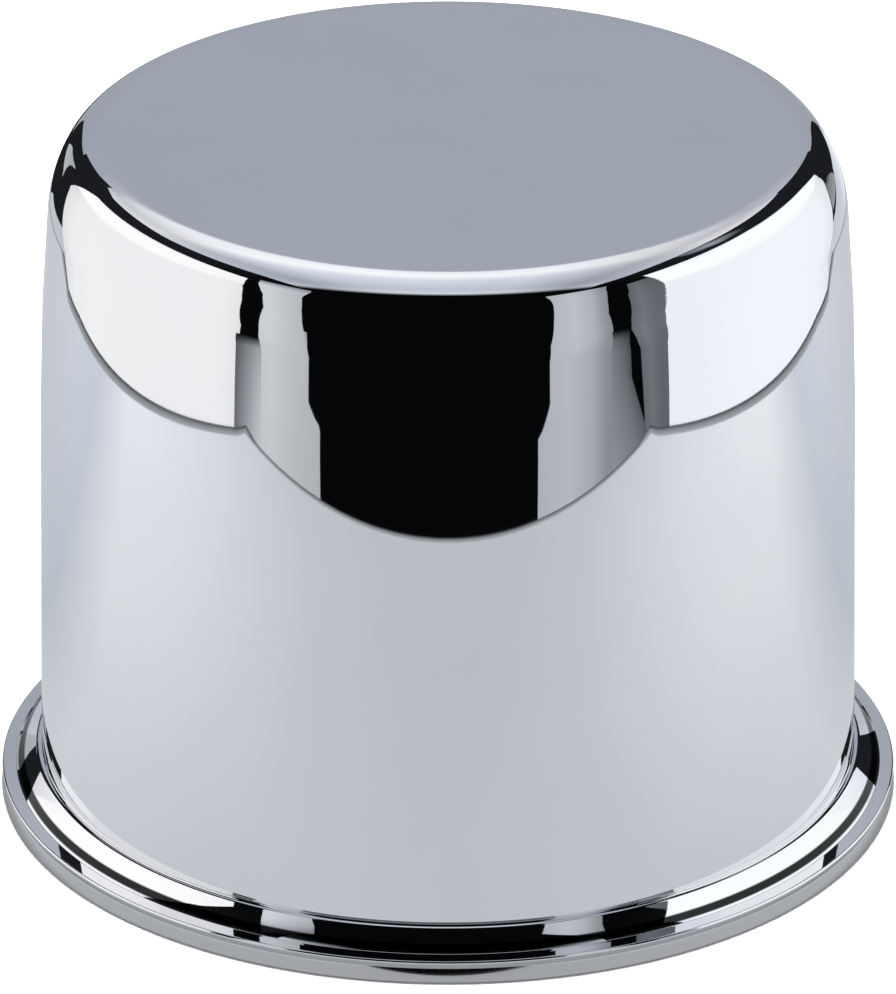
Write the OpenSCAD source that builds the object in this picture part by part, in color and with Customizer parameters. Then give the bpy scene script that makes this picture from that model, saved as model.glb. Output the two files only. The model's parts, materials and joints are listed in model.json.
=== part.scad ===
// Closed center cap for a wheel bore: one deep-drawn cup of plated sheet steel.
// The cup stands on its rim with the crown up, +Z along its axis, origin at the centre of its base.
// The angle of a face is that of its outward normal, in degrees above the horizontal.

/* [Body] */
// Diameter of the straight land that sits in the wheel's bore
pilot_d = 107; // [80:0.1:140]
// Height of that land above the flange's crest
pilot_h = 7; // [3:0.5:20]
// Overall height, from the rim's base to the top of the crown
cap_h = 91.8; // [75:0.1:130]
// Draft of the drawn wall above the land, per side
wall_draft = 1; // [0.5:0.1:2]
// Thickness of the sheet
sheet_t = 0.7; // [0.5:0.05:0.9]

/* [Crown] */
// Radius of the long bow where the wall starts to close in
bow_r = 354; // [300:1:420]
// Angle of the wall's face where the bow ends and the shoulder starts
bow_angle = 5.2; // [4:0.1:6]
// Radius of the shoulder between the bow and the corner
shoulder_r = 15.5; // [12:0.5:18]
// Angle of the face where the shoulder ends and the corner starts
shoulder_angle = 30; // [20:1:40]
// Radius of the corner that rolls over into the flat top
corner_r = 6.4; // [4:0.1:9]
// Width of the narrow straight between two arcs, here and in the ring
blend_w = 0.1; // [0.1:0.05:0.5]

/* [Flange] */
// Height of the ring's crest above the base
crest_h = 5.85; // [4:0.05:8]
// Width of the narrow flat on the crest
crest_w = 0.05; // [0.05:0.05:1]
// Radius over the crest's outer side
crest_r = 1; // [0.5:0.05:1.2]
// Slope of the ring's hollow face just outside the crest, below the horizontal
ring_top_slope = 43.5; // [42:0.5:60]
// Slope of that face at its foot, where it meets the lip
ring_foot_slope = 37.5; // [20:0.5:41]
// Radius of that hollow face
ring_r = 30.5; // [10:0.5:60]
// Inside radius between the ring and the lip
lip_r = 0.15; // [0.1:0.05:0.6]
// Slope of the lip, below the horizontal
lip_slope = 3.5; // [0:0.5:12]
// Width of the lip, measured down it
lip_w = 1.5; // [0.5:0.05:3]
// Inside radius where the wall turns out into the flange
foot_r = 0.15; // [0.1:0.05:0.6]
// Radius over the lip's outer edge
edge_r = 0.3; // [0.2:0.05:0.6]

/* [Rim] */
// Distance that the hem stands out beyond the lip's outer edge
hem_out = 0.1; // [0:0.02:0.4]
// Height of the waist between the lip's edge and the hem
waist_h = 2.1; // [1.5:0.05:2.3]
// Flare of the hem below the waist
hem_flare = 13.9; // [8:0.1:18]
// Radius round the hem's lower outer edge
hem_r = 0.35; // [0.2:0.05:0.5]

/* [Hidden] */
// How far an arc's circle swells past its neighbours, so that each pair crosses cleanly
arc_swell = 0.0002;
// Further swell in proportion to the arc's radius
radius_swell = 0.000003;
// How far such a wedge is drawn past the corner that it takes in, at most
wedge_past = 1;
// How far the hollow's section is drawn below the base, so that it opens cleanly
open_below = 1;
pilot_r = pilot_d / 2;
pilot_top = crest_h + pilot_h;
ring_top = 90 - ring_top_slope;
ring_foot = 90 - ring_foot_slope;
lip_angle = 90 - lip_slope;

// Unit vector out of a face, and unit vector down along it
function out_of(a) = [cos(a), sin(a)];
function down(a) = [sin(a), -cos(a)];

// Point where the faces on both sides of an arc would meet in a sharp corner
function sharp(c, r, from, to) = c + r / cos((to - from) / 2) * out_of((from + to) / 2);

// Angle at which a line that rises from a point below a circle touches it
function touch_angle(c, r, p) = atan2(p[1] - c[1], p[0] - c[0]) + acos(r / norm(p - c));

// Centres of the crown's arcs, each tangent to the next, measured from the edge of the flat top
corner_at = [0, cap_h - corner_r];
shoulder_at = corner_at - (shoulder_r - corner_r) * out_of(shoulder_angle) + blend_w * down(shoulder_angle);
bow_at = shoulder_at - (bow_r - shoulder_r) * out_of(bow_angle) + blend_w * down(bow_angle);
wall_at = bow_at + bow_r * out_of(wall_draft);

// Radius of the flat top that brings the drafted wall down onto the pilot land
flat_r = pilot_r - wall_at[0] - (wall_at[1] - pilot_top) * tan(wall_draft);
corner_c = corner_at + [flat_r, 0];
shoulder_c = shoulder_at + [flat_r, 0];
bow_c = bow_at + [flat_r, 0];

// Centres of the flange's arcs, from the wall's foot out to the hem
foot_c = [pilot_r + foot_r, crest_h + foot_r];
crest_c = [foot_c[0] + crest_w, crest_h - crest_r];
ring_c = crest_c + (crest_r + ring_r) * out_of(ring_top) + blend_w * down(ring_top);
lip_c = ring_c - (ring_r - lip_r) * out_of(ring_foot) + blend_w * down(ring_foot);
edge_c = lip_c - (lip_r + edge_r) * out_of(lip_angle) + lip_w * down(lip_angle);
hem_c = [edge_c[0] + edge_r + hem_out - hem_r, hem_r];
hem_top = hem_c + hem_r * out_of(hem_flare);
waist = hem_top - (waist_h - hem_top[1]) / cos(hem_flare) * down(hem_flare);
edge_angle = touch_angle(edge_c, edge_r, waist);

// Wedge of section outside an arc: cut from a corner it rounds it, added in a corner it fillets it
module beyond_arc(c, r, from, to) {
    reach = (r + min(r / 5, wedge_past)) / pow(cos((to - from) / 2), 2);
    difference() {
        polygon([c, c + reach * out_of(from), c + reach * out_of(to)]);
        translate(c)
            circle(r = r * (1 + radius_swell) + arc_swell, $fn = r > 100 ? 2880 : 180);
    }
}

// The wall and crown have the same corners outside and inside, set in by the sheet
function crown_corners(set_in) = [
    [pilot_r - set_in, pilot_top - set_in * tan(wall_draft / 2)],
    sharp(bow_c, bow_r - set_in, wall_draft, bow_angle),
    sharp(shoulder_c, shoulder_r - set_in, bow_angle, shoulder_angle),
    sharp(corner_c, corner_r - set_in, shoulder_angle, 90),
    [0, cap_h - set_in]
];

module beyond_crown(set_in) {
    beyond_arc(bow_c, bow_r - set_in, wall_draft, bow_angle);
    beyond_arc(shoulder_c, shoulder_r - set_in, bow_angle, shoulder_angle);
    beyond_arc(corner_c, corner_r - set_in, shoulder_angle, 90);
}

// Half section of the cap's outside, filled in to the axis
module outer_fill() {
    difference() {
        union() {
            polygon(concat(
                [
                    [0, 0],
                    sharp(hem_c, hem_r, -90, hem_flare),
                    waist,
                    sharp(edge_c, edge_r, edge_angle, lip_angle),
                    sharp(lip_c, -lip_r, ring_foot, lip_angle),
                    sharp(ring_c, -ring_r, ring_top, ring_foot),
                    sharp(crest_c, crest_r, ring_top, 90),
                    sharp(foot_c, -foot_r, 0, 90)
                ],
                crown_corners(0)
            ));
            beyond_arc(lip_c, lip_r, 180 + ring_foot, 180 + lip_angle);
            beyond_arc(ring_c, ring_r, 180 + ring_top, 180 + ring_foot);
            beyond_arc(foot_c, foot_r, 180, 270);
        }
        beyond_crown(0);
        beyond_arc(crest_c, crest_r, ring_top, 90);
        beyond_arc(edge_c, edge_r, edge_angle, lip_angle);
        beyond_arc(hem_c, hem_r, -90, hem_flare);
    }
}

// Half section of the hollow inside: the same faces, one sheet further in
module inner_fill() {
    skirt_r = waist[0] - sheet_t;
    lip_in = lip_c - (lip_r + sheet_t) * out_of(lip_angle);
    difference() {
        polygon(concat(
            [
                [0, -open_below],
                [skirt_r, -open_below],
                [skirt_r, lip_in[1] - (skirt_r - lip_in[0]) * tan(lip_slope)],
                sharp(lip_c, -lip_r - sheet_t, ring_foot, lip_angle),
                sharp(ring_c, -ring_r - sheet_t, ring_top, ring_foot),
                sharp(crest_c, crest_r - sheet_t, ring_top, 90),
                sharp(foot_c, -foot_r - sheet_t, 0, 90)
            ],
            crown_corners(sheet_t)
        ));
        beyond_crown(sheet_t);
    }
}

// Rounds that the inside has where the sheet turns through the foot, the ring and the lip
module inner_rounds() {
    beyond_arc(lip_c, lip_r + sheet_t, 180 + ring_foot, 180 + lip_angle);
    beyond_arc(ring_c, ring_r + sheet_t, 180 + ring_top, 180 + ring_foot);
    beyond_arc(foot_c, foot_r + sheet_t, 180, 270);
}

module cap_shell() {
    color([0.8, 0.81, 0.84])
        rotate_extrude($fn = 256)
            difference() {
                outer_fill();
                inner_fill();
                inner_rounds();
            }
}

cap_shell();
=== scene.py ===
"""Tall closed wheel center cap in bright plated sheet steel, on a white board in a small photo studio.

Lengths in the settings are in metres, angles in radians. The cap stands at the origin, +Z up its axis.
"""

import json
import math

import bmesh
import bpy
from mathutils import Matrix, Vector


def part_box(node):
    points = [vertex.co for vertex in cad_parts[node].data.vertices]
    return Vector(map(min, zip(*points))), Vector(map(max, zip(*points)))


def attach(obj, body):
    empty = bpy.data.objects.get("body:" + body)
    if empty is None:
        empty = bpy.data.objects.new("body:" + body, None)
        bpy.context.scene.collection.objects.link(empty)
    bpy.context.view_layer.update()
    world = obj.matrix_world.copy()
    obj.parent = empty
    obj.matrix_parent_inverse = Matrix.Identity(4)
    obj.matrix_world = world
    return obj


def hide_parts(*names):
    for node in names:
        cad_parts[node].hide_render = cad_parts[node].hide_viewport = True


bl_info = {
    "name": "Wheel Center Cap",
    "version": (1, 0, 0),
    "blender": (4, 5, 0),
    "location": "3D View > Sidebar > Center Cap",
    "description": "Builds a plated wheel center cap and the studio it is shown in",
    "category": "Add Mesh",
}

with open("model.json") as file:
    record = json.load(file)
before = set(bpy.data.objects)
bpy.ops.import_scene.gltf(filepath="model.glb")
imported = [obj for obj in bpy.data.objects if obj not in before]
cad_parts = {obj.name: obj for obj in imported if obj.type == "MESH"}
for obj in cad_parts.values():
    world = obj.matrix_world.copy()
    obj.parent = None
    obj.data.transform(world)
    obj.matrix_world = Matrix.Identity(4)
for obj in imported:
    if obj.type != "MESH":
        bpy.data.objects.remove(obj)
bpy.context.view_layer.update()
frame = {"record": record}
NODE = "cap_shell"
BODY = "root"
PILOT = next(m for m in frame["record"]["mounts"] if m["name"] == "pilot_land")
MM = 0.001

# Picture that the camera is set for, in pixels
PICTURE_WIDTH = 896
PICTURE_HEIGHT = 994
# Angle that the camera looks down by
CAMERA_PITCH = math.radians(25.21)
# Places of the two finishes among the sheet's materials
OUTSIDE, INSIDE = 0, 1
# Colour sockets of a Mix node: its two inputs and its output
MIX_A, MIX_B, MIX_RESULT = 6, 7, 2
# Distances over which the painted shade on the hem fades out above and below the waist, and the ring's
# painted dark reflection line at its sides
HEM_FADE_UP = 0.0001
HEM_FADE_DOWN = 0.0002
LINE_FADE = 0.00008
# Points nearer than this are one point
TOUCHING = 1e-9


class CapSizes(bpy.types.PropertyGroup):
    """Section of the sheet, the same as that of the solid part"""

    height: bpy.props.FloatProperty(
        name="Height",
        description="From the rim's base to the top of the crown",
        default=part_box(NODE)[1].z,
        unit="LENGTH",
    )
    pilot_radius: bpy.props.FloatProperty(
        name="Land radius",
        description="Radius of the straight land that sits in the wheel's bore",
        default=PILOT["dims"]["r_mm"] * MM,
        unit="LENGTH",
    )
    pilot_height: bpy.props.FloatProperty(
        name="Land height",
        description="Height of the land above the flange's crest",
        default=0.007,
        unit="LENGTH",
    )
    sheet: bpy.props.FloatProperty(
        name="Sheet", description="Thickness of the sheet", default=0.0007, unit="LENGTH"
    )
    wall_draft: bpy.props.FloatProperty(
        name="Wall draft",
        description="Lean of the drawn wall, per side",
        default=math.radians(1.0),
        subtype="ANGLE",
    )
    bow_radius: bpy.props.FloatProperty(
        name="Bow radius",
        description="Radius of the long bow where the wall starts to close in",
        default=0.354,
        unit="LENGTH",
    )
    bow_angle: bpy.props.FloatProperty(
        name="Bow angle",
        description="Angle of the face where the bow meets the shoulder",
        default=math.radians(5.2),
        subtype="ANGLE",
    )
    shoulder_radius: bpy.props.FloatProperty(
        name="Shoulder radius",
        description="Radius of the shoulder between the bow and the corner",
        default=0.0155,
        unit="LENGTH",
    )
    shoulder_angle: bpy.props.FloatProperty(
        name="Shoulder angle",
        description="Angle of the face where the shoulder meets the corner",
        default=math.radians(30.0),
        subtype="ANGLE",
    )
    corner_radius: bpy.props.FloatProperty(
        name="Corner radius",
        description="Radius of the corner that rolls over into the flat top",
        default=0.0064,
        unit="LENGTH",
    )
    blend_width: bpy.props.FloatProperty(
        name="Blend width",
        description="Width of the narrow straight between two arcs, in the crown and in the ring",
        default=0.0001,
        unit="LENGTH",
    )
    crest_height: bpy.props.FloatProperty(
        name="Crest height",
        description="Height of the ring's crest above the base",
        default=0.00585,
        unit="LENGTH",
    )
    crest_width: bpy.props.FloatProperty(
        name="Crest width",
        description="Width of the narrow flat on the crest",
        default=0.00005,
        unit="LENGTH",
    )
    crest_radius: bpy.props.FloatProperty(
        name="Crest radius",
        description="Radius over the crest's outer side",
        default=0.001,
        unit="LENGTH",
    )
    ring_top_slope: bpy.props.FloatProperty(
        name="Ring slope",
        description="Slope of the ring's hollow face just outside the crest",
        default=math.radians(43.5),
        subtype="ANGLE",
    )
    ring_foot_slope: bpy.props.FloatProperty(
        name="Ring foot slope",
        description="Slope of that face at its foot, where it meets the lip",
        default=math.radians(37.5),
        subtype="ANGLE",
    )
    ring_radius: bpy.props.FloatProperty(
        name="Ring radius",
        description="Radius of that hollow face",
        default=0.0305,
        unit="LENGTH",
    )
    lip_radius: bpy.props.FloatProperty(
        name="Lip radius",
        description="Inside radius between the ring and the lip",
        default=0.00015,
        unit="LENGTH",
    )
    lip_slope: bpy.props.FloatProperty(
        name="Lip slope",
        description="Slope of the lip, below the horizontal",
        default=math.radians(3.5),
        subtype="ANGLE",
    )
    lip_width: bpy.props.FloatProperty(
        name="Lip width",
        description="Width of the lip, measured down it",
        default=0.0015,
        unit="LENGTH",
    )
    foot_radius: bpy.props.FloatProperty(
        name="Foot radius",
        description="Inside radius where the wall turns out into the flange",
        default=0.00015,
        unit="LENGTH",
    )
    edge_radius: bpy.props.FloatProperty(
        name="Edge radius",
        description="Radius over the lip's outer edge",
        default=0.0003,
        unit="LENGTH",
    )
    hem_out: bpy.props.FloatProperty(
        name="Hem reach",
        description="Distance that the hem stands out beyond the lip's edge",
        default=0.0001,
        unit="LENGTH",
    )
    waist_height: bpy.props.FloatProperty(
        name="Waist height",
        description="Height of the waist between the lip's edge and the hem",
        default=0.0021,
        unit="LENGTH",
    )
    hem_flare: bpy.props.FloatProperty(
        name="Hem flare",
        description="Flare of the hem below the waist",
        default=math.radians(13.9),
        subtype="ANGLE",
    )
    hem_radius: bpy.props.FloatProperty(
        name="Hem radius",
        description="Radius round the hem's lower outer edge",
        default=0.00035,
        unit="LENGTH",
    )
    # The ring's dark line is a painted dark reflection, a little in from the ring's foot
    painted_ring_line_width: bpy.props.FloatProperty(
        name="Ring line width",
        description="Width of the dark line round the ring, near its foot",
        default=0.00085,
        unit="LENGTH",
    )
    painted_ring_line_in: bpy.props.FloatProperty(
        name="Ring line place",
        description="Distance from the ring's foot in to the middle of that line",
        default=0.00072,
        unit="LENGTH",
    )
    turn_steps: bpy.props.IntProperty(
        name="Steps round",
        description="Number of faces round the cap",
        default=384,
        min=48,
    )
    arc_step: bpy.props.FloatProperty(
        name="Arc step",
        description="Largest turn of the section from one row of points to the next",
        default=math.radians(4.0),
        subtype="ANGLE",
    )


class CapFinish(bpy.types.PropertyGroup):
    """Finish of the plated sheet"""

    chrome_colour: bpy.props.FloatVectorProperty(
        name="Chrome",
        description="Colour of the bright plating",
        subtype="COLOR",
        default=(0.80, 0.81, 0.84),
        min=0,
        max=1,
    )
    film_colour: bpy.props.FloatVectorProperty(
        name="Film",
        description="Colour of the plating where the wiped film lies on it",
        subtype="COLOR",
        default=(0.764, 0.774, 0.817),
        min=0,
        max=1,
    )
    # Painted shade: the hem is darkened towards the floor, so that it reflects darker there
    hem_shade_colour: bpy.props.FloatVectorProperty(
        name="Hem",
        description="Colour of the plating on the hem, where it is handled and stands on the floor",
        subtype="COLOR",
        default=(0.55, 0.555, 0.575),
        min=0,
        max=1,
    )
    # Painted dark reflection: the colour of the line round the ring near its foot
    painted_ring_line_colour: bpy.props.FloatVectorProperty(
        name="Ring line",
        description="Colour of the dark line round the ring, near its foot",
        subtype="COLOR",
        default=(0.022, 0.023, 0.026),
        min=0,
        max=1,
    )
    inside_colour: bpy.props.FloatVectorProperty(
        name="Inside",
        description="Colour of the thin, unpolished plating inside the cup",
        subtype="COLOR",
        default=(0.42, 0.42, 0.41),
        min=0,
        max=1,
    )
    gloss_roughness: bpy.props.FloatProperty(
        name="Gloss",
        description="Roughness of the clean bright plating",
        default=0.015,
        min=0,
        max=1,
    )
    film_roughness: bpy.props.FloatProperty(
        name="Film roughness",
        description="Roughness of the plating under the wiped film",
        default=0.035,
        min=0,
        max=1,
    )
    inside_roughness: bpy.props.FloatProperty(
        name="Inside roughness",
        description="Roughness of the unpolished inside",
        default=0.34,
        min=0,
        max=1,
    )
    inside_filmed_roughness: bpy.props.FloatProperty(
        name="Inside film roughness",
        description="Roughness of the inside under its film",
        default=0.238,
        min=0,
        max=1,
    )
    waviness: bpy.props.FloatProperty(
        name="Waviness",
        description="Height of the slow waves that drawing leaves in the sheet",
        default=0.0000012,
        unit="LENGTH",
    )
    inside_waviness: bpy.props.FloatProperty(
        name="Inside waviness",
        description="Height of the lines and waves that drawing leaves on the inside",
        default=0.000012,
        unit="LENGTH",
    )


class StudioSettings(bpy.types.PropertyGroup):
    """The board, the lights and the camera"""

    camera_distance: bpy.props.FloatProperty(
        name="Camera distance",
        description="Distance of the camera in front of the cap's axis, along the floor",
        default=1.0284,
        unit="LENGTH",
    )
    camera_height: bpy.props.FloatProperty(
        name="Camera height",
        description="Height of the camera above the floor",
        default=0.5245,
        unit="LENGTH",
    )
    camera_pitch: bpy.props.FloatProperty(
        name="Camera pitch",
        description="Angle that the camera looks down by",
        default=CAMERA_PITCH,
        subtype="ANGLE",
    )
    focal_pixels: bpy.props.FloatProperty(
        name="Focal length",
        description="Focal length of the lens, in pixels of the picture",
        default=8720.0,
    )
    card_distance: bpy.props.FloatProperty(
        name="Card distance",
        description="Distance of the lights and flags from the cap",
        default=0.5,
        unit="LENGTH",
    )
    board_radius: bpy.props.FloatProperty(
        name="Board radius",
        description="Radius of the white board's rounded sides",
        default=0.32,
        unit="LENGTH",
    )
    board_half_width: bpy.props.FloatProperty(
        name="Board half width",
        description="Distance from the cap's axis to the board's sides",
        default=0.226,
        unit="LENGTH",
    )


def out_of(angle):
    """Unit vector out of a face, in the section's plane: (outward, up)."""
    return Vector((math.cos(angle), math.sin(angle)))


def down_along(angle):
    """Unit vector down along that face."""
    return Vector((math.sin(angle), -math.cos(angle)))


class Section:
    """A stretch of the sheet's half section, as rows of (radius, height, angle of the face, finish)."""

    def __init__(self, step, finish):
        self.step = step
        self.finish = finish
        self.rows = []

    def arc(self, centre, radius, first, last, least=2):
        """An arc by the angles of its faces. A negative radius makes it a hollow one."""
        count = max(least, math.ceil(abs(last - first) / self.step))
        for i in range(count + 1):
            angle = first + (last - first) * i / count
            point = centre + radius * out_of(angle)
            self.rows.append((point.x, point.y, angle, self.finish))

    def line(self, start, end, angle, count=1):
        """A straight face from start to end."""
        for i in range(count + 1):
            point = start.lerp(end, i / count)
            self.rows.append((point.x, point.y, angle, self.finish))


def cap_section(s):
    """The whole section: down the outside from the crown's middle, round the rim and up the inside.

    It comes as three stretches: the outside, the underside of the rim, and the inside above that.
    """
    up, level = math.pi / 2, 0.0
    ring_top, ring_foot, lip_angle = up - s.ring_top_slope, up - s.ring_foot_slope, up - s.lip_slope
    pilot_top = Vector((s.pilot_radius, s.crest_height + s.pilot_height))

    corner = Vector((0, s.height - s.corner_radius))
    shoulder = corner - (s.shoulder_radius - s.corner_radius) * out_of(s.shoulder_angle)
    shoulder += s.blend_width * down_along(s.shoulder_angle)
    bow = shoulder - (s.bow_radius - s.shoulder_radius) * out_of(s.bow_angle)
    bow += s.blend_width * down_along(s.bow_angle)
    wall = bow + s.bow_radius * out_of(s.wall_draft)
    flat = Vector((pilot_top.x - wall.x - (wall.y - pilot_top.y) * math.tan(s.wall_draft), 0))
    corner, shoulder, bow = corner + flat, shoulder + flat, bow + flat

    foot = Vector((s.pilot_radius + s.foot_radius, s.crest_height + s.foot_radius))
    crest = Vector((foot.x + s.crest_width, s.crest_height - s.crest_radius))
    ring = crest + (s.crest_radius + s.ring_radius) * out_of(ring_top)
    ring += s.blend_width * down_along(ring_top)
    lip = ring - (s.ring_radius - s.lip_radius) * out_of(ring_foot)
    lip += s.blend_width * down_along(ring_foot)
    edge = lip - (s.lip_radius + s.edge_radius) * out_of(lip_angle)
    edge += s.lip_width * down_along(lip_angle)
    hem = Vector((edge.x + s.edge_radius + s.hem_out - s.hem_radius, s.hem_radius))
    hem_top = hem + s.hem_radius * out_of(s.hem_flare)
    rise = (s.waist_height - hem_top.y) / math.cos(s.hem_flare)
    waist = hem_top - rise * down_along(s.hem_flare)
    to_waist = waist - edge
    edge_angle = math.atan2(to_waist.y, to_waist.x) + math.acos(s.edge_radius / to_waist.length)

    outside = Section(s.arc_step, OUTSIDE)
    outside.line(Vector((0, s.height)), corner + s.corner_radius * out_of(up), up, 4)
    outside.arc(corner, s.corner_radius, up, s.shoulder_angle)
    outside.arc(shoulder, s.shoulder_radius, s.shoulder_angle, s.bow_angle)
    outside.arc(bow, s.bow_radius, s.bow_angle, s.wall_draft)
    outside.line(bow + s.bow_radius * out_of(s.wall_draft), pilot_top, s.wall_draft, 4)
    outside.line(pilot_top, Vector((s.pilot_radius, foot.y)), level)
    outside.arc(foot, -s.foot_radius, level, up)
    outside.arc(crest, s.crest_radius, up, ring_top)
    outside.arc(ring, -s.ring_radius, ring_top, ring_foot, 5)
    outside.arc(lip, -s.lip_radius, ring_foot, lip_angle)
    outside.arc(edge, s.edge_radius, lip_angle, edge_angle)
    outside.line(edge + s.edge_radius * out_of(edge_angle), waist, edge_angle)
    outside.line(waist, hem_top, s.hem_flare)
    outside.arc(hem, s.hem_radius, s.hem_flare, -up)
    skirt = waist.x - s.sheet
    outside.line(Vector((hem.x, 0)), Vector((skirt, 0)), -up)

    t = s.sheet
    under = Section(s.arc_step, INSIDE)
    inside = Section(s.arc_step, INSIDE)
    lip_in = lip - (s.lip_radius + t) * out_of(lip_angle)
    skirt_top = Vector((skirt, lip_in.y - (skirt - lip_in.x) * math.tan(s.lip_slope)))
    turn = (up - ring_top) / 2
    crest_in = crest + (s.crest_radius - t) / math.cos(turn) * out_of(up - turn)
    under.line(Vector((skirt, 0)), skirt_top, math.pi, 2)
    under.line(skirt_top, lip_in, lip_angle - math.pi)
    inside.arc(lip, -(s.lip_radius + t), lip_angle, ring_foot)
    inside.arc(ring, -(s.ring_radius + t), ring_foot, ring_top, 5)
    inside.line(crest_in, crest_in, (up + ring_top) / 2)
    inside.arc(foot, -(s.foot_radius + t), up, level)
    inner_top = Vector((pilot_top.x - t, pilot_top.y - t * math.tan(s.wall_draft / 2)))
    inside.line(Vector((pilot_top.x - t, foot.y)), inner_top, level)
    inside.line(inner_top, bow + (s.bow_radius - t) * out_of(s.wall_draft), s.wall_draft, 4)
    inside.arc(bow, s.bow_radius - t, s.wall_draft, s.bow_angle)
    inside.arc(shoulder, s.shoulder_radius - t, s.bow_angle, s.shoulder_angle)
    inside.arc(corner, s.corner_radius - t, s.shoulder_angle, up)
    inside.line(Vector((corner.x, s.height - t)), Vector((0, s.height - t)), up, 4)
    return outside.rows, under.rows, inside.rows


def turned(rows):
    """The same rows with their faces turned round."""
    return [(radius, height, angle + math.pi, finish) for radius, height, angle, finish in rows]


def revolve(name, rows, steps):
    """A closed mesh turned from the section's rows, with the true normal of every face at its corners."""
    verts, rings = [], []
    for radius, height, _, _ in rows:
        if radius < TOUCHING:
            rings.append([len(verts)] * steps)
            verts.append((0, 0, height))
            continue
        rings.append(range(len(verts), len(verts) + steps))
        for i in range(steps):
            turn = 2 * math.pi * i / steps
            verts.append((radius * math.cos(turn), radius * math.sin(turn), height))
    faces, finishes, normals = [], [], []
    for row, (upper, lower) in enumerate(zip(rings, rings[1:])):
        first, second = rows[row], rows[row + 1]
        if math.dist(first[:2], second[:2]) < TOUCHING:
            continue
        for i in range(steps):
            j = (i + 1) % steps
            corners = [(upper, i, first), (lower, i, second), (lower, j, second), (upper, j, first)]
            if first[0] < TOUCHING:
                corners.pop()
            if second[0] < TOUCHING:
                corners.pop(2)
            faces.append([ring[k] for ring, k, _ in corners])
            finishes.append(first[3])
            for _, k, (_, _, angle, _) in corners:
                turn = 2 * math.pi * k / steps
                flat = math.cos(angle)
                normals.append((flat * math.cos(turn), flat * math.sin(turn), math.sin(angle)))
    mesh = bpy.data.meshes.new(name)
    mesh.from_pydata(verts, [], faces)
    mesh.polygons.foreach_set("material_index", finishes)
    mesh.polygons.foreach_set("use_smooth", [True] * len(faces))
    mesh.normals_split_custom_set(normals)
    mesh.update()
    piece = bpy.data.objects.new(name, mesh)
    bpy.context.scene.collection.objects.link(piece)
    return piece


def new_group(name, inputs, outputs):
    """An empty shader node group: its tree, its input node and its output node."""
    tree = bpy.data.node_groups.new(name, "ShaderNodeTree")
    for label, kind, value in inputs:
        socket = tree.interface.new_socket(label, in_out="INPUT", socket_type=kind)
        socket.default_value = value
    for label, kind in outputs:
        tree.interface.new_socket(label, in_out="OUTPUT", socket_type=kind)
    return tree, tree.nodes.new("NodeGroupInput"), tree.nodes.new("NodeGroupOutput")


def add_node(tree, kind, sockets=None, **settings):
    """A node with its own settings and, by socket, its input values."""
    node = tree.nodes.new(kind)
    for key, value in settings.items():
        setattr(node, key, value)
    for key, value in (sockets or {}).items():
        node.inputs[key].default_value = value
    return node


def mix_colours(tree, factor, first, second, blend_type="MIX"):
    """The colour between two others. factor, first and second are each a socket or a plain value."""
    mix = add_node(tree, "ShaderNodeMix", data_type="RGBA", blend_type=blend_type)
    for place, given in (("Factor", factor), (MIX_A, first), (MIX_B, second)):
        if isinstance(given, bpy.types.NodeSocket):
            tree.links.new(given, mix.inputs[place])
        else:
            mix.inputs[place].default_value = given
    return mix.outputs[MIX_RESULT]


def wiped_film():
    """Node group: the thin cloudy film that wiping leaves, as a mask from 0, clean, to 1."""
    tree, given, result = new_group(
        "Wiped film",
        [("Cloud size", "NodeSocketFloat", 30.0), ("Cover", "NodeSocketFloat", 0.5)],
        [("Mask", "NodeSocketFloat")],
    )
    place = add_node(tree, "ShaderNodeTexCoord")
    clouds = add_node(tree, "ShaderNodeTexNoise", sockets={"Detail": 4.0, "Roughness": 0.55})
    spread = add_node(tree, "ShaderNodeMapRange", sockets={"From Min": 0.35, "From Max": 0.7})
    cover = add_node(tree, "ShaderNodeMath", operation="MULTIPLY")
    tree.links.new(place.outputs["Object"], clouds.inputs["Vector"])
    tree.links.new(given.outputs["Cloud size"], clouds.inputs["Scale"])
    tree.links.new(clouds.outputs["Fac"], spread.inputs["Value"])
    tree.links.new(spread.outputs["Result"], cover.inputs[0])
    tree.links.new(given.outputs["Cover"], cover.inputs[1])
    tree.links.new(cover.outputs["Value"], result.inputs["Mask"])
    return tree


def drawn_sheet():
    """Node group: the height of what drawing leaves in a sheet, slow waves and fine lines up the wall."""
    tree, given, result = new_group(
        "Drawn sheet",
        [
            ("Wave size", "NodeSocketFloat", 60.0),
            ("Line size", "NodeSocketFloat", 900.0),
            ("Line share", "NodeSocketFloat", 0.1),
        ],
        [("Height", "NodeSocketFloat")],
    )
    place = add_node(tree, "ShaderNodeTexCoord")
    waves = add_node(tree, "ShaderNodeTexNoise", sockets={"Detail": 1.0, "Roughness": 0.4})
    squeeze = add_node(tree, "ShaderNodeMapping", sockets={"Scale": (1.0, 1.0, 0.03)})
    lines = add_node(tree, "ShaderNodeTexNoise", sockets={"Detail": 3.0, "Roughness": 0.6})
    share = add_node(tree, "ShaderNodeMath", operation="MULTIPLY")
    total = add_node(tree, "ShaderNodeMath", operation="ADD")
    tree.links.new(place.outputs["Object"], waves.inputs["Vector"])
    tree.links.new(place.outputs["Object"], squeeze.inputs["Vector"])
    tree.links.new(squeeze.outputs["Vector"], lines.inputs["Vector"])
    tree.links.new(given.outputs["Wave size"], waves.inputs["Scale"])
    tree.links.new(given.outputs["Line size"], lines.inputs["Scale"])
    tree.links.new(lines.outputs["Fac"], share.inputs[0])
    tree.links.new(given.outputs["Line share"], share.inputs[1])
    tree.links.new(waves.outputs["Fac"], total.inputs[0])
    tree.links.new(share.outputs["Value"], total.inputs[1])
    tree.links.new(total.outputs["Value"], result.inputs["Height"])
    return tree


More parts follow.
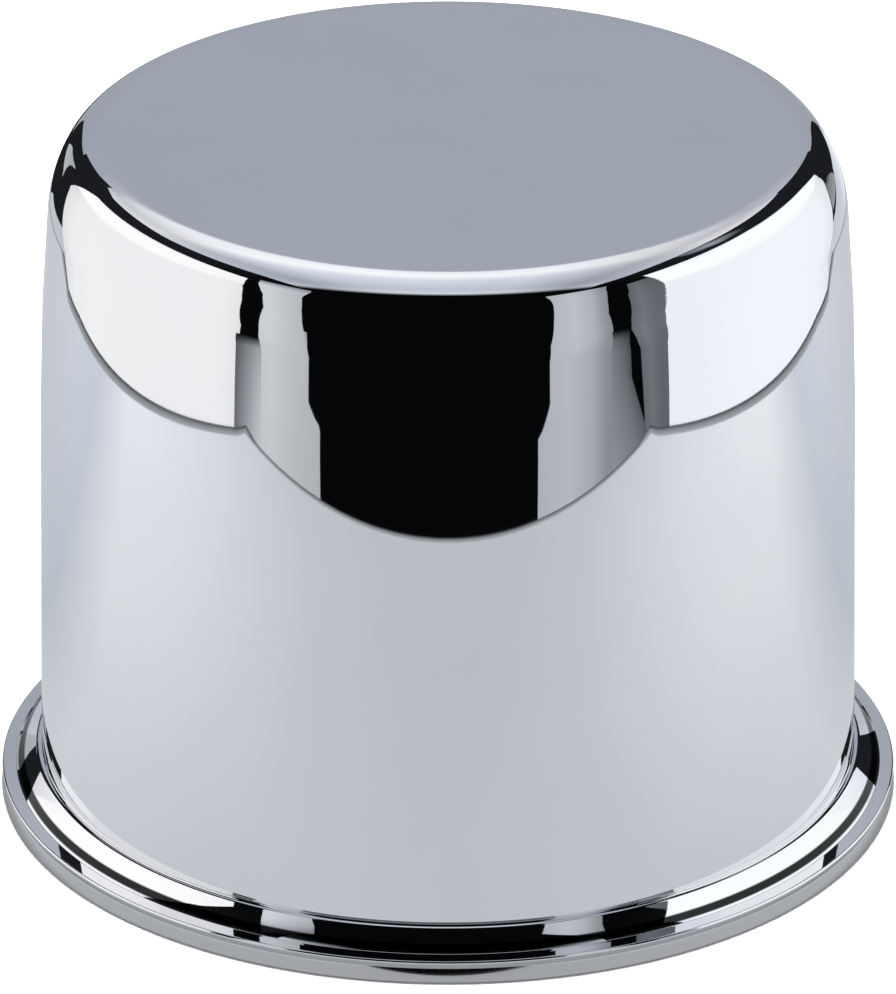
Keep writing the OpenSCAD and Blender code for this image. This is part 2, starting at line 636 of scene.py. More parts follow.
def rim_painted_shade():
    """Node group: masks of the painted shade on the hem, and of the painted dark reflection line round the
    ring.
    """
    tree, given, result = new_group(
        "Rim painted shade",
        [
            ("Hem height", "NodeSocketFloat", 0.0),
            ("Line radius", "NodeSocketFloat", 0.0),
            ("Line half width", "NodeSocketFloat", 0.0),
        ],
        [("Hem", "NodeSocketFloat"), ("Line", "NodeSocketFloat")],
    )
    place = add_node(tree, "ShaderNodeTexCoord")
    split = add_node(tree, "ShaderNodeSeparateXYZ")
    level = add_node(tree, "ShaderNodeVectorMath", operation="MULTIPLY", sockets={1: (1, 1, 0)})
    radius = add_node(tree, "ShaderNodeVectorMath", operation="LENGTH")
    above = add_node(tree, "ShaderNodeMath", operation="SUBTRACT")
    hem = add_node(
        tree, "ShaderNodeMapRange", sockets={"From Min": HEM_FADE_UP, "From Max": -HEM_FADE_DOWN}
    )
    off = add_node(tree, "ShaderNodeMath", operation="SUBTRACT")
    apart = add_node(tree, "ShaderNodeMath", operation="ABSOLUTE")
    beyond = add_node(tree, "ShaderNodeMath", operation="SUBTRACT")
    line = add_node(tree, "ShaderNodeMapRange", sockets={"From Min": LINE_FADE, "From Max": -LINE_FADE})
    tree.links.new(place.outputs["Object"], split.inputs["Vector"])
    tree.links.new(place.outputs["Object"], level.inputs[0])
    tree.links.new(level.outputs["Vector"], radius.inputs[0])
    tree.links.new(split.outputs["Z"], above.inputs[0])
    tree.links.new(given.outputs["Hem height"], above.inputs[1])
    tree.links.new(above.outputs["Value"], hem.inputs["Value"])
    tree.links.new(radius.outputs["Value"], off.inputs[0])
    tree.links.new(given.outputs["Line radius"], off.inputs[1])
    tree.links.new(off.outputs["Value"], apart.inputs[0])
    tree.links.new(apart.outputs["Value"], beyond.inputs[0])
    tree.links.new(given.outputs["Line half width"], beyond.inputs[1])
    tree.links.new(beyond.outputs["Value"], line.inputs["Value"])
    tree.links.new(hem.outputs["Result"], result.inputs["Hem"])
    tree.links.new(line.outputs["Result"], result.inputs["Line"])
    return tree


def plated_material(name, groups, colours, roughness, film, sheet, rim, bump):
    """A metal whose colour and roughness run from clean to filmed, over a drawn sheet's relief.

    colours are of the clean sheet, the film, the painted shade on the hem and the ring's painted dark
    reflection line. film, sheet and rim are input values of the node groups.
    """
    material = bpy.data.materials.new(name)
    material.use_nodes = True
    tree = material.node_tree
    shader = tree.nodes["Principled BSDF"]
    shader.inputs["Metallic"].default_value = 1.0
    mask = add_node(tree, "ShaderNodeGroup", node_tree=groups["film"], sockets=film)
    relief = add_node(tree, "ShaderNodeGroup", node_tree=groups["sheet"], sockets=sheet)
    edge = add_node(tree, "ShaderNodeGroup", node_tree=groups["rim"], sockets=rim)
    clean, filmed, shaded, dark = [(*colour, 1) for colour in colours]
    tone = mix_colours(tree, mask.outputs["Mask"], clean, filmed)
    # Painted shade on the hem, darker towards the floor
    tone = mix_colours(tree, edge.outputs["Hem"], tone, shaded)
    # Painted dark reflection: a dark line round the ring, a little in from its foot
    tone = mix_colours(tree, edge.outputs["Line"], tone, dark)
    dull = add_node(tree, "ShaderNodeMapRange", sockets={"To Min": roughness[0], "To Max": roughness[1]})
    normal = add_node(tree, "ShaderNodeBump", sockets={"Strength": 1.0, "Distance": bump})
    tree.links.new(tone, shader.inputs["Base Color"])
    tree.links.new(mask.outputs["Mask"], dull.inputs["Value"])
    tree.links.new(dull.outputs["Result"], shader.inputs["Roughness"])
    tree.links.new(relief.outputs["Height"], normal.inputs["Height"])
    tree.links.new(normal.outputs["Normal"], shader.inputs["Normal"])
    return material


class CENTERCAP_OT_shell(bpy.types.Operator):
    """Turn the cap's sheet from its section and give it the plated finish"""

    bl_idname = "centercap.shell"
    bl_label = "Build Cap Shell"

    def execute(self, context):
        sizes = context.scene.cap_sizes
        finish = context.scene.cap_finish
        outside, under, inside = cap_section(sizes)
        piece = revolve("cap_sheet", outside + under + turned(inside), sizes.turn_steps)
        groups = {"film": wiped_film(), "sheet": drawn_sheet(), "rim": rim_painted_shade()}
        lip_end = max(radius for radius, _, _, _ in outside) - sizes.hem_out
        ring_foot = lip_end - sizes.edge_radius - sizes.lip_width
        rim = {
            "Hem height": sizes.waist_height,
            # Where the painted dark reflection line lies round the ring
            "Line radius": ring_foot - sizes.painted_ring_line_in,
            "Line half width": sizes.painted_ring_line_width / 2,
        }
        bright = plated_material(
            "Bright plating",
            groups,
            (finish.chrome_colour, finish.film_colour, finish.hem_shade_colour, finish.painted_ring_line_colour),
            (finish.gloss_roughness, finish.film_roughness),
            {"Cloud size": 40.0, "Cover": 0.6},
            {"Wave size": 60.0, "Line size": 700.0, "Line share": 0.02},
            rim,
            finish.waviness,
        )
        thin = plated_material(
            "Thin plating inside",
            groups,
            (finish.inside_colour, finish.film_colour, finish.inside_colour, finish.inside_colour),
            (finish.inside_roughness, finish.inside_filmed_roughness),
            {"Cloud size": 60.0, "Cover": 0.8},
            {"Wave size": 90.0, "Line size": 900.0, "Line share": 0.6},
            rim,
            finish.inside_waviness,
        )
        for material in (bright, thin):
            piece.data.materials.append(material)
        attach(piece, BODY)
        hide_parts(NODE)
        return {"FINISHED"}


def shown(red, green, blue):
    """Light that shows as this colour, 0 to 255, in the bright plating."""
    chrome = bpy.context.scene.cap_finish.chrome_colour
    return tuple(((c / 255 + 0.055) / 1.055) ** 2.4 / own for c, own in zip((red, green, blue), chrome))


def glow_material(name, build):
    """A stage material that only gives off light. build(tree) returns the socket of its colour."""
    material = bpy.data.materials.new(name)
    material.use_nodes = True
    tree = material.node_tree
    tree.nodes.clear()
    glow = add_node(tree, "ShaderNodeEmission")
    output = add_node(tree, "ShaderNodeOutputMaterial")
    tree.links.new(build(tree), glow.inputs["Color"])
    tree.links.new(glow.outputs["Emission"], output.inputs["Surface"])
    return material


def ramp_node(tree, source, stops):
    """A colour ramp over a value. stops are (share, colour)."""
    ramp = add_node(tree, "ShaderNodeValToRGB")
    elements = ramp.color_ramp.elements
    while len(elements) < len(stops):
        elements.new(1.0)
    for element, (share, colour) in zip(elements, stops):
        element.position = share
        element.color = (*colour, 1)
    tree.links.new(source, ramp.inputs["Fac"])
    return ramp.outputs["Color"]


def graded_glow(name, along_stops, across_stops):
    """Light graded along a card's edges by colour, and across it by a share of that light."""

    def build(tree):
        place = add_node(tree, "ShaderNodeUVMap", uv_map="place")
        split = add_node(tree, "ShaderNodeSeparateXYZ")
        tree.links.new(place.outputs["UV"], split.inputs["Vector"])
        colours = ramp_node(tree, split.outputs["Y"], [(share, shown(*c)) for share, c in along_stops])
        shares = ramp_node(tree, split.outputs["X"], [(share, (part,) * 3) for share, part in across_stops])
        return mix_colours(tree, 1.0, colours, shares, "MULTIPLY")

    return glow_material(name, build)


def seen_in_plating_only(obj):
    """The object shows in the cap's reflections and nowhere else."""
    obj.visible_camera = False
    obj.visible_diffuse = False
    obj.visible_transmission = False
    obj.visible_volume_scatter = False
    obj.visible_shadow = False


def link_mesh(name, verts, faces, material):
    """A new object of this mesh and material, in the scene."""
    mesh = bpy.data.meshes.new(name)
    mesh.from_pydata(verts, [], faces)
    mesh.materials.append(material)
    obj = bpy.data.objects.new(name, mesh)
    bpy.context.scene.collection.objects.link(obj)
    return obj


def bearing(azimuth, elevation):
    """Unit vector to a bearing: azimuth 0 towards the camera, positive to its right. Degrees."""
    a, e = math.radians(azimuth), math.radians(elevation)
    return Vector((math.cos(e) * math.sin(a), -math.cos(e) * math.cos(a), math.sin(e)))


def along(points, share):
    """The direction at a share of the way along a list of directions."""
    place = share * (len(points) - 1)
    i = min(int(place), len(points) - 2)
    return points[i].lerp(points[i + 1], place - i).normalized()


# The way the camera looks
SIGHT = Vector((0, math.cos(CAMERA_PITCH), -math.sin(CAMERA_PITCH)))
# The crown's rounding as it mirrors the cards: the radius of the ring that its centre makes, its own radius,
# the height of that ring, and the least lean of a face that is off the flat
CROWN_RING = 0.0437
CROWN_ROUND = 0.0075
CROWN_RING_HEIGHT = 0.0845
LEAST_LEAN = 0.3

# Turns from the camera in degrees, to the left and to the right: up to the first the cards stand near,
# and from the second on they are far
NEAR_LEFT = (92, 127)
NEAR_RIGHT = (60, 95)
# A card stands at the card distance divided by its closeness, which is never less than this
LEAST_CLOSENESS = 0.06
# The cards in front lean in over the cap between these elevations in degrees, by this much of their closeness
LEAN_START = 20
LEAN_END = 45
LEAN_OVER = 1.0
# The closeness of the cards that stand at one distance all along
STEADY_CLOSENESS = {
    "overhead_softbox": 1.25,
    "left_softbox": 0.5,
    "left_softbox_top": 0.5,
    "right_softbox": 0.5,
    "right_softbox_top": 0.5,
    "right_bar": 0.5,
    "backdrop": 0.062,
}
# Faces of a card along its edges and across it
CARD_ROWS = 64
CARD_COLUMNS = 40
# How much nearer than the far cards the near ones stand
NEARER = 0.15
# How far the dark dome stands beyond the furthest card
DOME_PAST = 1.3
# Places across the dome, in its radius, where it starts and stops getting lighter towards the back
DOME_DARK = -0.2
DOME_LIGHT = 0.3


def mirror_spot(way):
    """Where on the crown's rounding the camera sees what lies this way."""
    face = (way - SIGHT).normalized()
    level = Vector((face.x, face.y, 0))
    ring = level * (CROWN_RING / max(level.length, LEAST_LEAN))
    return ring + CROWN_ROUND * face + Vector((0, 0, CROWN_RING_HEIGHT))


def eased(share):
    """A share from 0 to 1, eased at both ends."""
    share = min(max(share, 0), 1)
    return share * share * (3 - 2 * share)


def closeness(way):
    """How near the cards stand this way: 1 in front, more above that, and the least behind the sides."""
    turn = math.degrees(math.atan2(way.x, -way.y))
    near, far = NEAR_RIGHT if turn > 0 else NEAR_LEFT
    share = eased((far - abs(turn)) / (far - near))
    rise = math.degrees(math.asin(way.z))
    lean = LEAN_OVER * eased((rise - LEAN_START) / (LEAN_END - LEAN_START))
    return max(share * (1 + share * lean), LEAST_CLOSENESS)


def card(name, first_edge, second_edge, distance, material):
    """A card seen from the cap between two edges, each a list of bearings that runs the same way."""
    first, second = [[bearing(*p) for p in edge] for edge in (first_edge, second_edge)]
    verts, places = [], []
    for row in range(CARD_ROWS + 1):
        a, b = along(first, row / CARD_ROWS), along(second, row / CARD_ROWS)
        for column in range(CARD_COLUMNS + 1):
            way = a.lerp(b, column / CARD_COLUMNS).normalized()
            near = STEADY_CLOSENESS.get(name) or closeness(way)
            verts.append(mirror_spot(way) + distance / near * way)
            places.append((column / CARD_COLUMNS, row / CARD_ROWS))
    width = CARD_COLUMNS + 1
    faces = [
        (k, k + 1, k + 1 + width, k + width)
        for row in range(CARD_ROWS)
        for k in range(row * width, row * width + CARD_COLUMNS)
    ]
    obj = link_mesh(name, verts, faces, material)
    layer = obj.data.uv_layers.new(name="place")
    for loop in obj.data.loops:
        layer.data[loop.index].uv = places[loop.vertex_index]
    seen_in_plating_only(obj)


# A card's light that is the same all the way across
EVEN = [(0.0, 1.0), (1.0, 1.0)]

# The far cards. Each has a first edge and a second edge, as bearings from the cap (azimuth, elevation), the
# light along those edges as (share of the way, colour as it shows), and the share of that light across.
FAR_CARDS = {
    "left_softbox": (
        [(-139.5, -40), (-139.5, -20), (-141.3, -10), (-142.5, 0), (-140.6, 9), (-140, 14), (-138.8, 23.8)],
        [(-61.5, -40), (-61.2, -18.5), (-59.3, -10), (-58.8, 0), (-61.9, 20), (-65.6, 30), (-78.1, 48.6)],
        [(0.0, (239, 240, 242)), (1.0, (239, 240, 242))],
        [(0.0, 0.82), (0.15, 0.97), (0.3, 1.0), (0.9, 0.98), (1.0, 0.9)],
    ),
    "left_panel": (
        [(-54, -40), (-53.2, -10), (-53.2, 0), (-54.6, 20), (-58.3, 30), (-64.5, 40), (-71, 47), (-77, 52.5)],
        [
            (-35.4, -40),
            (-35.4, -18.8),
            (-38.8, -18.2),
            (-38.8, -10),
            (-39, 0),
            (-42.5, 20),
            (-45, 30),
            (-48.7, 40),
            (-53, 52),
            (-56.5, 55.8),
        ],
        [
            (0.0, (192, 195, 200)),
            (0.3, (206, 209, 213)),
            (0.84, (205, 208, 213)),
            (0.92, (172, 174, 184)),
            (1.0, (128, 130, 140)),
        ],
        [(0.0, 0.98), (0.2, 1.0), (0.6, 0.86), (1.0, 0.76)],
    ),
    "right_panel": (
        [
            (24.7, -40),
            (24.7, -19.2),
            (28.1, -18.7),
            (28.1, 0),
            (30.4, 20),
            (32.2, 30),
            (34.4, 40),
            (37.3, 50),
            (39.9, 57),
        ],
        [(46.2, -40), (46, 0), (47, 20), (49.5, 30), (53.5, 40), (60, 50), (66, 55)],
        [(0.0, (178, 183, 193)), (0.35, (190, 194, 203)), (0.7, (190, 196, 204)), (1.0, (186, 190, 199))],
        [(0.0, 0.88), (0.4, 0.97), (0.7, 0.82), (0.9, 0.56), (1.0, 0.5)],
    ),
    "right_bar": (
        [
            (57.2, -24),
            (56, -19),
            (54, -12),
            (52.6, -4),
            (51.6, 2),
            (52.3, 10),
            (56.7, 30),
            (63.5, 43),
            (69, 49.5),
        ],
        [(64, -24), (63.6, -15), (62.4, 0), (63.2, 10), (70, 30), (76, 43), (81, 50)],
        [(0.0, (102, 106, 112)), (0.4, (112, 115, 121)), (1.0, (98, 101, 106))],
        [(0.0, 0.85), (0.3, 1.1), (0.7, 0.84), (1.0, 0.84)],
    ),
    "right_softbox": (
        [
            (63.8, -40),
            (63.8, -18),
            (62.3, 0),
            (63.1, 10),
            (65.6, 20),
            (70, 30),
            (74, 40),
            (80, 49),
            (85.3, 54.4),
        ],
        [
            (137.5, -40),
            (137.5, -20),
            (141.2, -10),
            (143, 2),
            (144.5, 10),
            (146.9, 15),
            (143.8, 24),
            (139, 31),
            (130, 40),
        ],
        [(0.0, (239, 244, 250)), (1.0, (239, 244, 250))],
        [(0.0, 0.95), (0.35, 1.0), (0.6, 1.02), (0.85, 0.98), (1.0, 0.85)],
    ),
    "overhead_softbox": (
        [(-64.2, 57.8), (-75.1, 59), (-90, 59), (-131, 44.3), (-149, 31.7), (-155.6, 29.6)],
        [(63, 59.1), (74, 60.9), (90, 61), (139, 50.3), (155.9, 35.2), (160, 31.5)],
        [
            (0.0, (4, 5, 7)),
            (0.17, (208, 215, 223)),
            (0.3, (194, 201, 213)),
            (0.4, (187, 195, 210)),
            (0.55, (212, 217, 230)),
            (0.65, (248, 250, 253)),
            (0.85, (232, 234, 244)),
            (1.0, (205, 209, 220)),
        ],
        [(0.0, 0.8), (0.15, 0.66), (0.35, 0.96), (0.5, 1.0), (0.65, 0.96), (0.85, 0.58), (1.0, 0.8)],
    ),
    "backdrop": (
        [
            (-165, -12),
            (-163, 0),
            (-159.5, 10),
            (-156, 16),
            (-158.2, 18),
            (-158, 26),
            (-160, 31),
            (-166, 36.5),
        ],
        [(164, -12), (163, 0), (161.5, 10), (158.5, 17), (160, 19), (160.5, 25), (161, 31), (168, 35)],
        [(0.0, (150, 155, 165)), (0.4, (153, 159, 172)), (0.7, (158, 163, 176)), (1.0, (195, 200, 210))],
        EVEN,
    ),
    "rear_floor_left": (
        [(-138, -40), (-138, -20), (-139, -13.5)],
        [(-179, -40), (-170, -22), (-158, -17)],
        [(0.0, (186, 191, 198)), (1.0, (186, 191, 198))],
        EVEN,
    ),
    "rear_sliver_left": (
        [(-160, -8), (-156, 1), (-152, 5), (-149, 8.4)],
        [(-151.5, -9), (-150.6, -3), (-149.8, 3), (-148, 8.4)],
        [(0.0, (172, 177, 184)), (1.0, (160, 164, 170))],
        EVEN,
    ),
    "rear_floor_right": (
        [(136.5, -40), (136.5, -20), (137, -13), (140, -12.4)],
        [(179, -40), (172, -12), (168, -6), (163, -9)],
        [(0.0, (196, 201, 212)), (1.0, (190, 195, 205))],
        [(0.0, 1.0), (0.5, 1.0), (1.0, 1.5)],
    ),
    "rear_sliver_right": (
        [(142, -10), (142.5, -3), (143, 0)],
        [(153, -10), (149, -4), (146, 0)],
        [(0.0, (150, 154, 158)), (1.0, (60, 62, 66))],
        EVEN,
    ),
    "ceiling_patch_right": (
        [(121, 52), (128, 46), (139, 41)],
        [(126, 56), (137, 51), (144, 45.5)],
        [(0.0, (100, 104, 114)), (0.5, (160, 164, 176)), (1.0, (60, 64, 70))],
        [(0.0, 0.3), (0.5, 1.0), (1.0, 0.3)],
    ),
}

# The cards in front of those, in the same form
NEAR_CARDS = {
    "left_softbox_top": (
        [(-140.4, 9), (-130, 12.5), (-120, 16), (-110, 20.5), (-100, 25), (-80, 33), (-69, 37)],
        [(-138.8, 23.2), (-130, 29.5), (-120, 35.4), (-110, 39.5), (-100, 43.3), (-90, 47.2), (-78.1, 48.6)],
        [(0.0, (253, 254, 255)), (0.7, (253, 254, 255)), (1.0, (243, 244, 246))],
        [(0.0, 0.93), (0.2, 1.0), (1.0, 1.0)],
    ),
    "left_gap_foot": (
        [(-61.3, -25), (-61.2, -18), (-60.8, -13), (-60.2, -7)],
        [(-53.0, -25), (-53.0, -18), (-53.0, -13), (-53.0, -7)],
        [
            (0.0, (165, 168, 173)),
            (0.4, (140, 143, 148)),
            (0.7, (98, 101, 105)),
            (0.9, (50, 52, 55)),
            (1.0, (12, 12, 13)),
        ],
        [(0.0, 0.4), (0.5, 1.0), (0.9, 1.55), (1.0, 1.55)],
    ),
    "left_panel_tab": (
        [(-39.5, -4), (-39.5, 0), (-40.2, 7.6)],
        [(-38.8, -4), (-38.9, 0), (-39.3, 6.8)],
        [(0.0, (176, 179, 184)), (1.0, (160, 164, 168))],
        EVEN,
    ),
    "right_gap_foot": (
        [(46, -28), (46, -24), (46, -20), (45.9, -14), (45.8, -8), (45.8, -3), (45.8, 3)],
        [(60, -28), (59, -23.5), (56.5, -20.5), (52, -17), (51, -10), (50.8, -4), (51.0, 3)],
        [
            (0.0, (150, 154, 162)),
            (0.25, (140, 144, 152)),
            (0.5, (118, 122, 128)),
            (0.8, (100, 104, 109)),
            (0.92, (62, 66, 70)),
            (1.0, (14, 16, 17)),
        ],
        [(0.0, 1.0), (0.6, 0.72), (1.0, 0.4)],
    ),
    "right_softbox_top": (
        [(146.5, 14.5), (140, 12), (130, 14.5), (120, 17), (110, 21), (90, 27), (71.6, 34)],
        [(143.8, 23.2), (137.5, 31.3), (130, 37.6), (120, 43.4), (110, 45.6), (100, 49), (85.3, 54.4)],
        [(0.0, (250, 254, 255)), (1.0, (250, 254, 255))],
        [(0.0, 0.96), (0.25, 1.0), (1.0, 1.02)],
    ),
}


# The white board from above, right half: where its bowed front edge crosses the middle, its front corner, the
# depth of its side's centre and where that side ends, its rear corner, and its rear edge at the middle
BOARD_FRONT = -0.194
BOARD_CORNER = Vector((0.199, -0.155))
BOARD_SIDE_DEPTH = -0.02
BOARD_SIDE_END = 0.1
BOARD_REAR_CORNER = Vector((0.187, 0.127))
BOARD_BACK = 0.235
# Steps along its front and round its rear corner; its side has twice as many
BOARD_STEPS = 12
# It lies just under the rim
BOARD_HEIGHT = -0.0001
# Its painted light: brightest at this point and its mirror image, and least this far from it
BOARD_BRIGHT = (0.24, -0.01, 0)
BOARD_LIT_REACH = 0.26
BOARD_LIGHT = [
    (0.0, (232, 235, 240)),
    (0.43, (216, 219, 224)),
    (0.62, (203, 206, 212)),
    (0.78, (192, 195, 201)),
    (1.0, (186, 189, 195)),
]
# Painted shadow behind the cap: the share of that light from the middle back, and how far back that runs
BOARD_BACK_REACH = 0.16
BOARD_BACK_SHADOW = [
    (0.0, (1, 1, 1)),
    (0.3, (0.76, 0.8, 0.84)),
    (0.55, (0.84, 0.87, 0.91)),
    (1.0, (0.97, 0.99, 1.02)),
]
# The rim's radius, the share of that light left beside it as painted contact shadow, and how far that fades
RIM_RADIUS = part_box(NODE)[1].x
RIM_SHADE = 0.53
RIM_SHADE_WIDTH = 0.004
# Its dark edge: narrower in front, between the corners, and lighter on its inside
EDGE_WIDTH_FRONT = 0.0034
EDGE_WIDTH = 0.0078
EDGE_FRONT_END = 0.19
EDGE_LIGHT = [
    (0.0, (163, 166, 171)),
    (0.5, (136, 139, 144)),
    (0.72, (110, 113, 117)),
    (0.8, (74, 76, 80)),
    (1.0, (70, 72, 76)),
]
# Half the floor's side, and the soft lamp above it: its size, power and height
FLOOR_HALF = 6.0
LAMP_SIZE = 2.5
LAMP_POWER = 60
LAMP_HEIGHT = 2.0


class CENTERCAP_OT_studio(bpy.types.Operator):
    """Lay the floor and the white board, and set up the softboxes, flags and camera"""

    bl_idname = "centercap.studio"
    bl_label = "Build Studio"

    def execute(self, context):
        studio = context.scene.cap_studio
        self.floor()
        self.board(studio)
        self.dome(studio.card_distance / LEAST_CLOSENESS * DOME_PAST)
        for cards, distance in (
            (FAR_CARDS, studio.card_distance),
            (NEAR_CARDS, studio.card_distance * (1 - NEARER)),
        ):
            for name, (first, second, along_stops, across_stops) in cards.items():
                card(name, first, second, distance, graded_glow(name, along_stops, across_stops))
        self.light(context)
        self.camera(context, studio)
        return {"FINISHED"}

    def floor(self):
        """The pale floor, which the plating doesn't see."""
        pale = bpy.data.materials.new("White floor")
        pale.use_nodes = True
        shader = pale.node_tree.nodes["Principled BSDF"]
        shader.inputs["Base Color"].default_value = (0.9, 0.9, 0.9, 1)
        shader.inputs["Roughness"].default_value = 0.9
        shader.inputs["Specular IOR Level"].default_value = 0.0
        h = FLOOR_HALF
        floor = link_mesh("floor", [(-h, -h, 0), (h, -h, 0), (h, h, 0), (-h, h, 0)], [(0, 1, 2, 3)], pale)
        floor.visible_glossy = False

    def dome(self, radius):
        """A dark ball that closes the room in, for the plating. It is a little lighter behind and above."""
        ball = bmesh.new()
        bmesh.ops.create_uvsphere(ball, u_segments=48, v_segments=24, radius=radius)
        ball.verts.index_update()
        verts = [vert.co.copy() for vert in ball.verts]
        faces = [[vert.index for vert in face.verts] for face in ball.faces]
        ball.free()

        def build(tree):
            place = add_node(tree, "ShaderNodeTexCoord")
            split = add_node(tree, "ShaderNodeSeparateXYZ")
            depth = add_node(
                tree,
                "ShaderNodeMapRange",
                sockets={"From Min": DOME_DARK * radius, "From Max": DOME_LIGHT * radius},
            )
            tree.links.new(place.outputs["Object"], split.inputs["Vector"])
            tree.links.new(split.outputs["Y"], depth.inputs["Value"])
            return ramp_node(tree, depth.outputs["Result"], [(0.0, shown(5, 6, 7)), (1.0, shown(26, 28, 31))])

        seen_in_plating_only(link_mesh("dark_dome", verts, faces, glow_material("Black cloth", build)))

    def board_outline(self, studio):
        """The board's outline, from the middle of its front round both sides."""
        half = []
        for i in range(BOARD_STEPS + 1):
            share = i / BOARD_STEPS
            bow = (BOARD_CORNER.y - BOARD_FRONT) * share**2
            half.append(Vector((BOARD_CORNER.x * share, BOARD_FRONT + bow)))
        centre = Vector((studio.board_half_width - studio.board_radius, BOARD_SIDE_DEPTH))
        corner = BOARD_CORNER - centre
        start = math.atan2(corner.y, corner.x)
        end = math.asin((BOARD_SIDE_END - centre.y) / studio.board_radius)
        for i in range(1, 2 * BOARD_STEPS + 1):
            half.append(centre + studio.board_radius * out_of(start + (end - start) * i / (2 * BOARD_STEPS)))
        rear = BOARD_REAR_CORNER
        for i in range(BOARD_STEPS + 1):
            turn = out_of(math.pi / 2 * i / BOARD_STEPS)
            half.append(Vector((rear.x * turn.x, rear.y + (BOARD_BACK - rear.y) * turn.y)))
        return half + [Vector((-p.x, p.y)) for p in reversed(half[1:-1])]

    def board(self, studio):
        """The white board's glow: painted light towards the softboxes at its sides, painted shadow round the
        cap, a grey edge.
        """

        def build(tree):
            place = add_node(tree, "ShaderNodeTexCoord")
            sides = add_node(tree, "ShaderNodeVectorMath", operation="ABSOLUTE")
            split = add_node(tree, "ShaderNodeSeparateXYZ")
            across = add_node(tree, "ShaderNodeSeparateXYZ")
            point = add_node(tree, "ShaderNodeCombineXYZ")
            away = add_node(tree, "ShaderNodeVectorMath", operation="DISTANCE", sockets={1: BOARD_BRIGHT})
            near = add_node(tree, "ShaderNodeMapRange", sockets={"From Max": BOARD_LIT_REACH})
            back = add_node(tree, "ShaderNodeMapRange", sockets={"From Max": BOARD_BACK_REACH})
            out = add_node(tree, "ShaderNodeVectorMath", operation="LENGTH")
            beside = add_node(
                tree,
                "ShaderNodeMapRange",
                interpolation_type="SMOOTHSTEP",
                sockets={
                    "From Min": RIM_RADIUS,
                    "From Max": RIM_RADIUS + RIM_SHADE_WIDTH,
                    "To Min": RIM_SHADE,
                    "To Max": 1.0,
                },
            )
            tree.links.new(place.outputs["Object"], split.inputs["Vector"])
            tree.links.new(place.outputs["Object"], sides.inputs[0])
            tree.links.new(sides.outputs["Vector"], across.inputs["Vector"])
            tree.links.new(across.outputs["X"], point.inputs["X"])
            tree.links.new(split.outputs["Y"], point.inputs["Y"])
            tree.links.new(point.outputs["Vector"], away.inputs[0])
            tree.links.new(away.outputs["Value"], near.inputs["Value"])
            tree.links.new(split.outputs["Y"], back.inputs["Value"])
            tree.links.new(place.outputs["Object"], out.inputs[0])
            tree.links.new(out.outputs["Value"], beside.inputs["Value"])
            light = ramp_node(tree, near.outputs["Result"], [(share, shown(*c)) for share, c in BOARD_LIGHT])
            # Painted shadow behind the cap, and painted contact shadow beside the rim
            back_shadow = ramp_node(tree, back.outputs["Result"], BOARD_BACK_SHADOW)
            light = mix_colours(tree, 1.0, light, back_shadow, "MULTIPLY")
            return mix_colours(tree, 1.0, light, beside.outputs["Result"], "MULTIPLY")

        outline = self.board_outline(studio)
        flat = [(p.x, p.y, BOARD_HEIGHT) for p in outline]
        white = glow_material("White board", build)
        seen_in_plating_only(link_mesh("board", flat, [range(len(flat))], white))
        self.board_edge(outline)

    def board_edge(self, outline):
        """The board's edge: a dark line round a band that is lighter on its inside."""
        verts, places, faces = [], [], []
        count = len(outline)
        for p in outline:
            in_front = abs(p.x) < EDGE_FRONT_END and p.y < 0
            width = EDGE_WIDTH_FRONT if in_front else EDGE_WIDTH
            verts += [(p.x, p.y, BOARD_HEIGHT), (*(p * (1 + width / p.length)), BOARD_HEIGHT)]
        for i in range(count):
            n = (i + 1) % count
            faces.append((2 * i, 2 * n, 2 * n + 1, 2 * i + 1))
            places += [(0, 0), (0, 0), (0, 1), (0, 1)]
        material = graded_glow("Board edge", EDGE_LIGHT, EVEN)
        obj = link_mesh("board_edge", verts, faces, material)
        layer = obj.data.uv_layers.new(name="place")
        for i, uv in enumerate(places):
            layer.data[i].uv = uv
        seen_in_plating_only(obj)

    def light(self, context):
        """Soft light for the floor, which the plating doesn't see, and the white surround."""
        world = bpy.data.worlds.new("Studio")
        world.use_nodes = True
        world.node_tree.nodes["Background"].inputs["Color"].default_value = (1, 1, 1, 1)
        world.node_tree.nodes["Background"].inputs["Strength"].default_value = 1.0
        context.scene.world = world
        lamp = bpy.data.lights.new("overhead_lamp", "AREA")
        lamp.shape = "DISK"
        lamp.size = LAMP_SIZE
        lamp.energy = LAMP_POWER
        obj = bpy.data.objects.new("overhead_lamp", lamp)
        obj.location = (0, 0, LAMP_HEIGHT)
        obj.visible_glossy = False
        obj.visible_camera = False
        context.scene.collection.objects.link(obj)

    def camera(self, context, studio):
        """The camera in front of the cap, looking down at it."""
        camera = bpy.data.cameras.new("camera")
        camera.sensor_width = 36.0
        camera.lens = studio.focal_pixels * camera.sensor_width / max(PICTURE_WIDTH, PICTURE_HEIGHT)
        camera.clip_start, camera.clip_end = 0.1, 50.0
        obj = bpy.data.objects.new("camera", camera)
        obj.location = (0, -studio.camera_distance, studio.camera_height)
        obj.rotation_euler = (math.pi / 2 - studio.camera_pitch, 0, 0)
        context.scene.collection.objects.link(obj)
        context.scene.camera = obj
        context.scene.view_settings.view_transform = "Standard"
        context.scene.view_settings.look = "None"


class CENTERCAP_PT_panel(bpy.types.Panel):
    """The cap's settings and the steps that build it"""

    bl_label = "Center Cap"
    bl_space_type = "VIEW_3D"
    bl_region_type = "UI"
    bl_category = "Center Cap"

    def draw(self, context):
        layout = self.layout
        for settings in (context.scene.cap_sizes, context.scene.cap_finish, context.scene.cap_studio):
            box = layout.box()
            for name in settings.bl_rna.properties.keys():
                if name not in ("rna_type", "name"):
                    box.prop(settings, name)
        for step in STEPS:
            layout.operator(step.bl_idname)


STEPS = (CENTERCAP_OT_shell, CENTERCAP_OT_studio)
CLASSES = (CapSizes, CapFinish, StudioSettings, *STEPS, CENTERCAP_PT_panel)


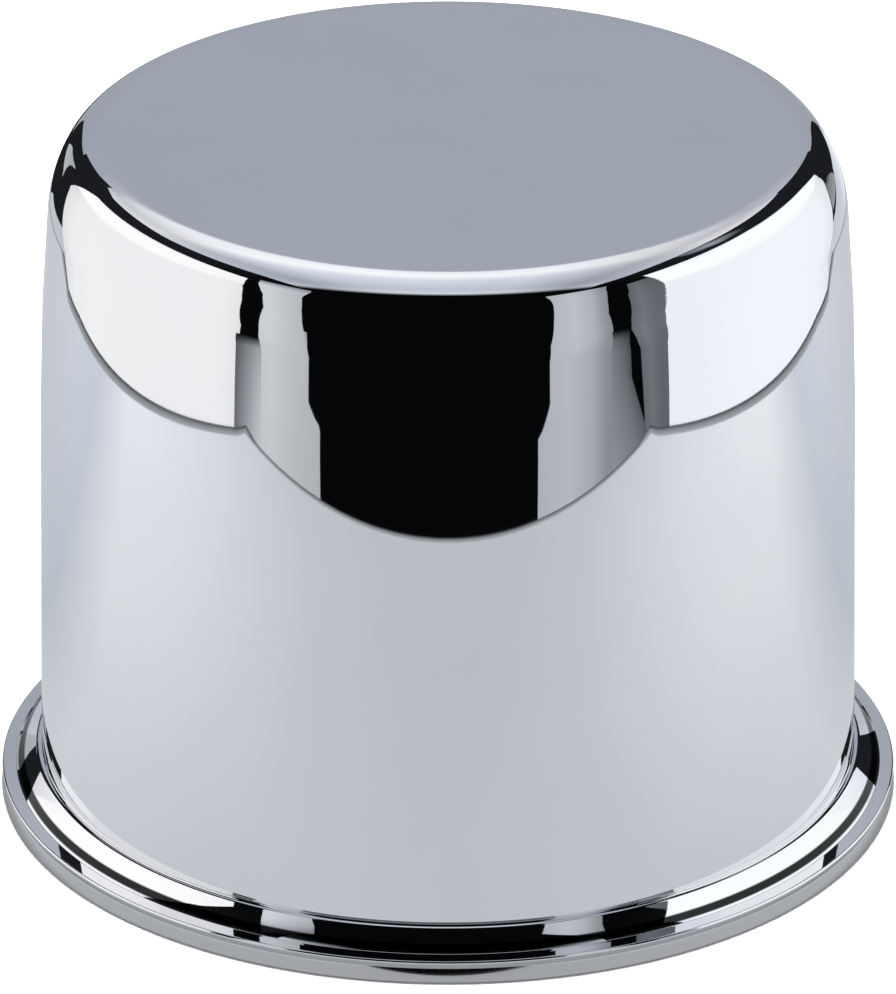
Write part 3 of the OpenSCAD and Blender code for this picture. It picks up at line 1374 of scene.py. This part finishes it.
def register():
    for cls in CLASSES:
        bpy.utils.register_class(cls)
    bpy.types.Scene.cap_sizes = bpy.props.PointerProperty(type=CapSizes)
    bpy.types.Scene.cap_finish = bpy.props.PointerProperty(type=CapFinish)
    bpy.types.Scene.cap_studio = bpy.props.PointerProperty(type=StudioSettings)


def unregister():
    del bpy.types.Scene.cap_studio
    del bpy.types.Scene.cap_finish
    del bpy.types.Scene.cap_sizes
    for cls in reversed(CLASSES):
        bpy.utils.unregister_class(cls)


def main():
    register()
    bpy.ops.centercap.shell()
    bpy.ops.centercap.studio()


if __name__ == "__main__":
    main()
